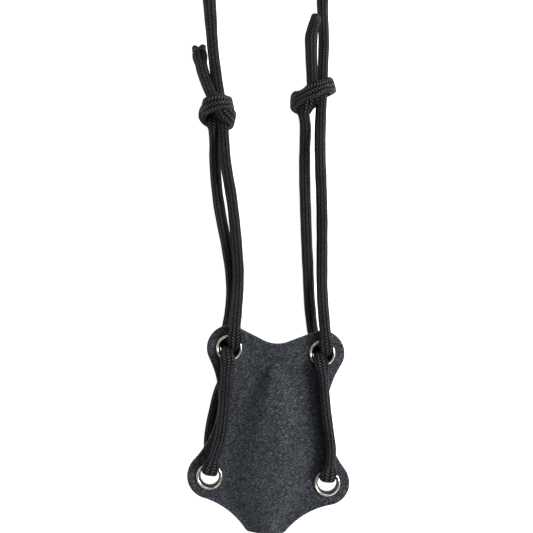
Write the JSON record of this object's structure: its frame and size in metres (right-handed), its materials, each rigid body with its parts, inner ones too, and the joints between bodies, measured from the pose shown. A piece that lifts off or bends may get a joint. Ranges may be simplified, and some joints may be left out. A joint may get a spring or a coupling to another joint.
{
  "type": "neck sheath",
  "caption": "Flat moulded sheath for a small blade, with eyelets at its corners, worn on a braided neck cord whose sliding knots set its length.",
  "frame": {"origin": "centre of the sheath without its cord, on the plane where its front and back sheets part", "axes": "+Z out of the sheath's front, +Y from the mouth at the nose towards the upper eyelets, +X to the right seen from the front; the sheath lies on its back"},
  "size_m": [0.0655, 0.2588, 0.0128],
  "materials": {
    "grained_plastic": "fine leather-like grain, dark blue-black, semi-matt",
    "nickel_plate": "polished nickel plate, slightly warm",
    "braided_cord": "fine black herringbone braid over a core",
    "melted_cord": "cord end melted and pressed flat",
    "tie_strap": "soft hook-and-loop strap"
  },
  "bodies": {
    "sheath": {"front_shell": "grained_plastic", "back_shell": "grained_plastic", "eyelet_upper_left": "nickel_plate", "eyelet_upper_right": "nickel_plate", "eyelet_lower_left": "nickel_plate", "eyelet_lower_right": "nickel_plate", "neck_coil": "braided_cord", "coil_tie": "tie_strap", "left_standing_cord": "braided_cord", "left_back_run": "braided_cord", "left_front_run": "braided_cord", "left_return_cord": "braided_cord", "right_standing_cord": "braided_cord", "right_back_run": "braided_cord", "right_front_run": "braided_cord", "right_return_cord": "braided_cord"},
    "left_slider": {"left_knot": "braided_cord", "left_tail": "braided_cord", "left_cord_tip": "melted_cord"},
    "right_slider": {"right_knot": "braided_cord", "right_tail": "braided_cord", "right_cord_tip": "melted_cord"}
  },
  "joints": [
    {"name": "left_knot_slide", "type": "slide", "parent": "sheath", "child": "left_slider", "axis": [-0.167, 0.986, 0], "range_m": [-0.012, 0.015], "deforming": ["left_return_cord"]},
    {"name": "right_knot_slide", "type": "slide", "parent": "sheath", "child": "right_slider", "axis": [-0.0227, 0.9997, 0], "range_m": [-0.01, 0.012], "deforming": ["right_return_cord"]}
  ]
}
